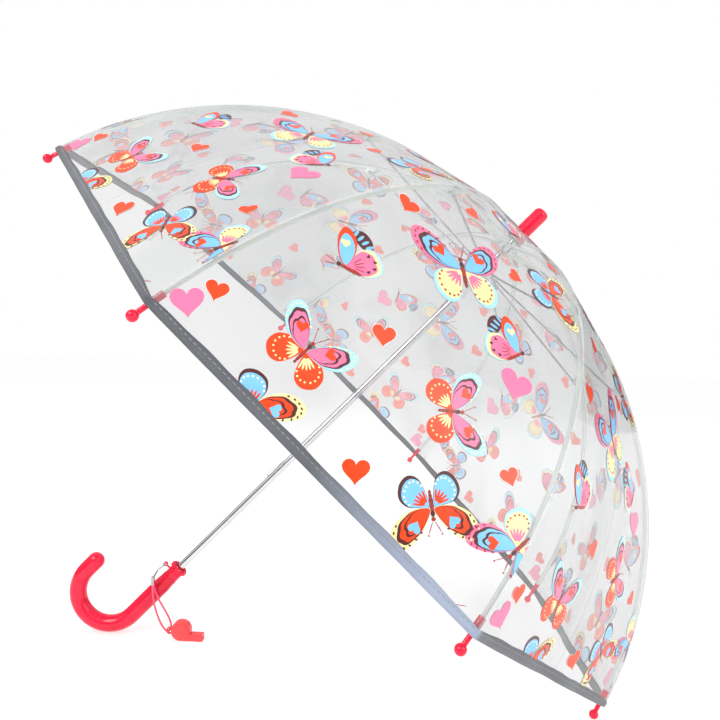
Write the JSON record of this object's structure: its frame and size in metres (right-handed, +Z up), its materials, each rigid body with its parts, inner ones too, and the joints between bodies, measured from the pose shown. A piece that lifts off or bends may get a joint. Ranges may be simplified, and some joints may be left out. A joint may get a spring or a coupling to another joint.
{
  "type": "children's umbrella",
  "caption": "Child's clear dome umbrella with butterfly and heart print, J handle and whistle on a cord; opens and closes.",
  "frame": {"origin": "centre of the bottom of the bounding box, on the floor that the umbrella lies on", "axes": "+Z up from the floor; +Y across the dome; +X from the handle's end to the dome's end; the shaft lies in the XZ plane"},
  "size_m": [0.579, 0.6924, 0.538],
  "materials": {
    "shaft_chrome": "polished tube",
    "coral_plastic": "glossy, slightly translucent",
    "notch_plastic": "satin moulded",
    "clear_washer": "clear moulded",
    "spring_steel": "bright spring steel",
    "wire_steel": "drawn wire",
    "cord_pink": "smooth plastic cord",
    "whistle_plastic": "satin moulded",
    "pea_plastic": "matt",
    "fibreglass": "smooth pultruded rod",
    "canopy_film": "clear glossy film with printed butterflies and hearts",
    "hem_tape": "woven reflective binding",
    "print_ink": "printed ink"
  },
  "bodies": {
    "root": {"shaft": "shaft_chrome", "handle": "coral_plastic", "handle_collar": "coral_plastic", "top_notch": "notch_plastic", "ferrule": "coral_plastic", "crown_washer": "clear_washer", "catch_springs": "spring_steel"},
    "runner": {"runner": "notch_plastic"},
    "rib_1": {"rib_upper_1": "fibreglass", "canopy_upper_1": "canopy_film"},
    "rib_outer_1": {"rib_lower_1": "fibreglass", "rib_tip_1": "coral_plastic", "canopy_lower_1": "canopy_film"},
    "stretcher_1": {"stretcher_1": "wire_steel"},
    "rib_2": {"rib_upper_2": "fibreglass", "canopy_upper_2": "canopy_film"},
    "rib_outer_2": {"rib_lower_2": "fibreglass", "rib_tip_2": "coral_plastic", "canopy_lower_2": "canopy_film"},
    "stretcher_2": {"stretcher_2": "wire_steel"},
    "rib_3": {"rib_upper_3": "fibreglass", "canopy_upper_3": "canopy_film"},
    "rib_outer_3": {"rib_lower_3": "fibreglass", "rib_tip_3": "coral_plastic", "canopy_lower_3": "canopy_film"},
    "stretcher_3": {"stretcher_3": "wire_steel"},
    "rib_4": {"rib_upper_4": "fibreglass", "canopy_upper_4": "canopy_film"},
    "rib_outer_4": {"rib_lower_4": "fibreglass", "rib_tip_4": "coral_plastic", "canopy_lower_4": "canopy_film"},
    "stretcher_4": {"stretcher_4": "wire_steel"},
    "rib_5": {"rib_upper_5": "fibreglass", "canopy_upper_5": "canopy_film"},
    "rib_outer_5": {"rib_lower_5": "fibreglass", "rib_tip_5": "coral_plastic", "canopy_lower_5": "canopy_film"},
    "stretcher_5": {"stretcher_5": "wire_steel"},
    "rib_6": {"rib_upper_6": "fibreglass", "canopy_upper_6": "canopy_film"},
    "rib_outer_6": {"rib_lower_6": "fibreglass", "rib_tip_6": "coral_plastic", "canopy_lower_6": "canopy_film"},
    "stretcher_6": {"stretcher_6": "wire_steel"},
    "rib_7": {"rib_upper_7": "fibreglass", "canopy_upper_7": "canopy_film"},
    "rib_outer_7": {"rib_lower_7": "fibreglass", "rib_tip_7": "coral_plastic", "canopy_lower_7": "canopy_film"},
    "stretcher_7": {"stretcher_7": "wire_steel"},
    "rib_8": {"rib_upper_8": "fibreglass", "canopy_upper_8": "canopy_film"},
    "rib_outer_8": {"rib_lower_8": "fibreglass", "rib_tip_8": "coral_plastic", "canopy_lower_8": "canopy_film"},
    "stretcher_8": {"stretcher_8": "wire_steel"},
    "lanyard": {"lanyard_clip": "wire_steel", "lanyard_cord": "cord_pink", "whistle": "whistle_plastic", "whistle_pea": "pea_plastic"}
  },
  "joints": [
    {"name": "runner_slide", "type": "slide", "parent": "root", "child": "runner", "axis": [-0.6899, 0, -0.7239], "range_m": [0, 0.3237], "deforming": ["catch_springs"]},
    {"name": "rib_hinge_1", "type": "hinge", "parent": "root", "child": "rib_1", "pos_m": [0.17272, 0.00268, 0.42351], "axis": [-0.277, 0.9239, 0.264], "range_deg": [0, 74.78], "deforming": ["canopy_upper_1"]},
    {"name": "rib_flex_1", "type": "hinge", "parent": "rib_1", "child": "rib_outer_1", "pos_m": [0.27059, 0.07157, 0.28512], "axis": [-0.277, 0.9239, 0.264], "range_deg": [-37.38, 0], "deforming": ["canopy_lower_1"]},
    {"name": "stretcher_hinge_1", "type": "hinge", "parent": "runner", "child": "stretcher_1", "pos_m": [0.15183, 0.00364, 0.39825], "axis": [-0.277, 0.9239, 0.264], "range_deg": [-88.58, 0]},
    {"name": "rib_hinge_2", "type": "hinge", "parent": "root", "child": "rib_2", "pos_m": [0.16998, 0.00647, 0.42612], "axis": [-0.6688, 0.3827, 0.6374], "range_deg": [0, 74.78], "deforming": ["canopy_upper_2"]},
    {"name": "rib_flex_2", "type": "hinge", "parent": "rib_2", "child": "rib_outer_2", "pos_m": [0.19732, 0.17279, 0.35495], "axis": [-0.6688, 0.3827, 0.6374], "range_deg": [-37.38, 0], "deforming": ["canopy_lower_2"]},
    {"name": "stretcher_hinge_2", "type": "hinge", "parent": "runner", "child": "stretcher_2", "pos_m": [0.14811, 0.00878, 0.40179], "axis": [-0.6688, 0.3827, 0.6374], "range_deg": [-88.58, 0]},
    {"name": "rib_hinge_3", "type": "hinge", "parent": "root", "child": "rib_3", "pos_m": [0.1661, 0.00647, 0.42982], "axis": [-0.6688, -0.3827, 0.6374], "range_deg": [0, 74.78], "deforming": ["canopy_upper_3"]},
    {"name": "rib_flex_3", "type": "hinge", "parent": "rib_3", "child": "rib_outer_3", "pos_m": [0.0937, 0.17279, 0.45371], "axis": [-0.6688, -0.3827, 0.6374], "range_deg": [-37.38, 0], "deforming": ["canopy_lower_3"]},
    {"name": "stretcher_hinge_3", "type": "hinge", "parent": "runner", "child": "stretcher_3", "pos_m": [0.14285, 0.00878, 0.40681], "axis": [-0.6688, -0.3827, 0.6374], "range_deg": [-88.58, 0]},
    {"name": "rib_hinge_4", "type": "hinge", "parent": "root", "child": "rib_4", "pos_m": [0.16336, 0.00268, 0.43243], "axis": [-0.277, -0.9239, 0.264], "range_deg": [0, 74.78], "deforming": ["canopy_upper_4"]},
    {"name": "rib_flex_4", "type": "hinge", "parent": "rib_4", "child": "rib_outer_4", "pos_m": [0.02043, 0.07157, 0.52354], "axis": [-0.277, -0.9239, 0.264], "range_deg": [-37.38, 0], "deforming": ["canopy_lower_4"]},
    {"name": "stretcher_hinge_4", "type": "hinge", "parent": "runner", "child": "stretcher_4", "pos_m": [0.13913, 0.00364, 0.41036], "axis": [-0.277, -0.9239, 0.264], "range_deg": [-88.58, 0]},
    {"name": "rib_hinge_5", "type": "hinge", "parent": "root", "child": "rib_5", "pos_m": [0.16336, -0.00268, 0.43243], "axis": [0.277, -0.9239, -0.264], "range_deg": [0, 74.78], "deforming": ["canopy_upper_5"]},
    {"name": "rib_flex_5", "type": "hinge", "parent": "rib_5", "child": "rib_outer_5", "pos_m": [0.02043, -0.07157, 0.52354], "axis": [0.277, -0.9239, -0.264], "range_deg": [-37.38, 0], "deforming": ["canopy_lower_5"]},
    {"name": "stretcher_hinge_5", "type": "hinge", "parent": "runner", "child": "stretcher_5", "pos_m": [0.13913, -0.00364, 0.41036], "axis": [0.277, -0.9239, -0.264], "range_deg": [-88.58, 0]},
    {"name": "rib_hinge_6", "type": "hinge", "parent": "root", "child": "rib_6", "pos_m": [0.1661, -0.00647, 0.42982], "axis": [0.6688, -0.3827, -0.6374], "range_deg": [0, 74.78], "deforming": ["canopy_upper_6"]},
    {"name": "rib_flex_6", "type": "hinge", "parent": "rib_6", "child": "rib_outer_6", "pos_m": [0.0937, -0.17279, 0.45371], "axis": [0.6688, -0.3827, -0.6374], "range_deg": [-37.38, 0], "deforming": ["canopy_lower_6"]},
    {"name": "stretcher_hinge_6", "type": "hinge", "parent": "runner", "child": "stretcher_6", "pos_m": [0.14285, -0.00878, 0.40681], "axis": [0.6688, -0.3827, -0.6374], "range_deg": [-88.58, 0]},
    {"name": "rib_hinge_7", "type": "hinge", "parent": "root", "child": "rib_7", "pos_m": [0.16998, -0.00647, 0.42612], "axis": [0.6688, 0.3827, -0.6374], "range_deg": [0, 74.78], "deforming": ["canopy_upper_7"]},
    {"name": "rib_flex_7", "type": "hinge", "parent": "rib_7", "child": "rib_outer_7", "pos_m": [0.19732, -0.17279, 0.35495], "axis": [0.6688, 0.3827, -0.6374], "range_deg": [-37.38, 0], "deforming": ["canopy_lower_7"]},
    {"name": "stretcher_hinge_7", "type": "hinge", "parent": "runner", "child": "stretcher_7", "pos_m": [0.14811, -0.00878, 0.40179], "axis": [0.6688, 0.3827, -0.6374], "range_deg": [-88.58, 0]},
    {"name": "rib_hinge_8", "type": "hinge", "parent": "root", "child": "rib_8", "pos_m": [0.17272, -0.00268, 0.42351], "axis": [0.277, 0.9239, -0.264], "range_deg": [0, 74.78], "deforming": ["canopy_upper_8"]},
    {"name": "rib_flex_8", "type": "hinge", "parent": "rib_8", "child": "rib_outer_8", "pos_m": [0.27059, -0.07157, 0.28512], "axis": [0.277, 0.9239, -0.264], "range_deg": [-37.38, 0], "deforming": ["canopy_lower_8"]},
    {"name": "stretcher_hinge_8", "type": "hinge", "parent": "runner", "child": "stretcher_8", "pos_m": [0.15183, -0.00364, 0.39825], "axis": [0.277, 0.9239, -0.264], "range_deg": [-88.58, 0]},
    {"name": "lanyard_swing", "type": "hinge", "parent": "root", "child": "lanyard", "pos_m": [-0.18469, -0.003, 0.07758], "axis": [0, 1, 0], "range_deg": [-8, 27]}
  ],
  "couplings": [
    {"joint": "rib_hinge_1", "follows": "runner_slide", "rad_per_m": 4.032},
    {"joint": "rib_flex_1", "follows": "runner_slide", "rad_per_m": -2.0155},
    {"joint": "stretcher_hinge_1", "follows": "runner_slide", "rad_per_m": -4.7761},
    {"joint": "rib_hinge_2", "follows": "runner_slide", "rad_per_m": 4.032},
    {"joint": "rib_flex_2", "follows": "runner_slide", "rad_per_m": -2.0155},
    {"joint": "stretcher_hinge_2", "follows": "runner_slide", "rad_per_m": -4.7761},
    {"joint": "rib_hinge_3", "follows": "runner_slide", "rad_per_m": 4.032},
    {"joint": "rib_flex_3", "follows": "runner_slide", "rad_per_m": -2.0155},
    {"joint": "stretcher_hinge_3", "follows": "runner_slide", "rad_per_m": -4.7761},
    {"joint": "rib_hinge_4", "follows": "runner_slide", "rad_per_m": 4.032},
    {"joint": "rib_flex_4", "follows": "runner_slide", "rad_per_m": -2.0155},
    {"joint": "stretcher_hinge_4", "follows": "runner_slide", "rad_per_m": -4.7761},
    {"joint": "rib_hinge_5", "follows": "runner_slide", "rad_per_m": 4.032},
    {"joint": "rib_flex_5", "follows": "runner_slide", "rad_per_m": -2.0155},
    {"joint": "stretcher_hinge_5", "follows": "runner_slide", "rad_per_m": -4.7761},
    {"joint": "rib_hinge_6", "follows": "runner_slide", "rad_per_m": 4.032},
    {"joint": "rib_flex_6", "follows": "runner_slide", "rad_per_m": -2.0155},
    {"joint": "stretcher_hinge_6", "follows": "runner_slide", "rad_per_m": -4.7761},
    {"joint": "rib_hinge_7", "follows": "runner_slide", "rad_per_m": 4.032},
    {"joint": "rib_flex_7", "follows": "runner_slide", "rad_per_m": -2.0155},
    {"joint": "stretcher_hinge_7", "follows": "runner_slide", "rad_per_m": -4.7761},
    {"joint": "rib_hinge_8", "follows": "runner_slide", "rad_per_m": 4.032},
    {"joint": "rib_flex_8", "follows": "runner_slide", "rad_per_m": -2.0155},
    {"joint": "stretcher_hinge_8", "follows": "runner_slide", "rad_per_m": -4.7761}
  ]
}
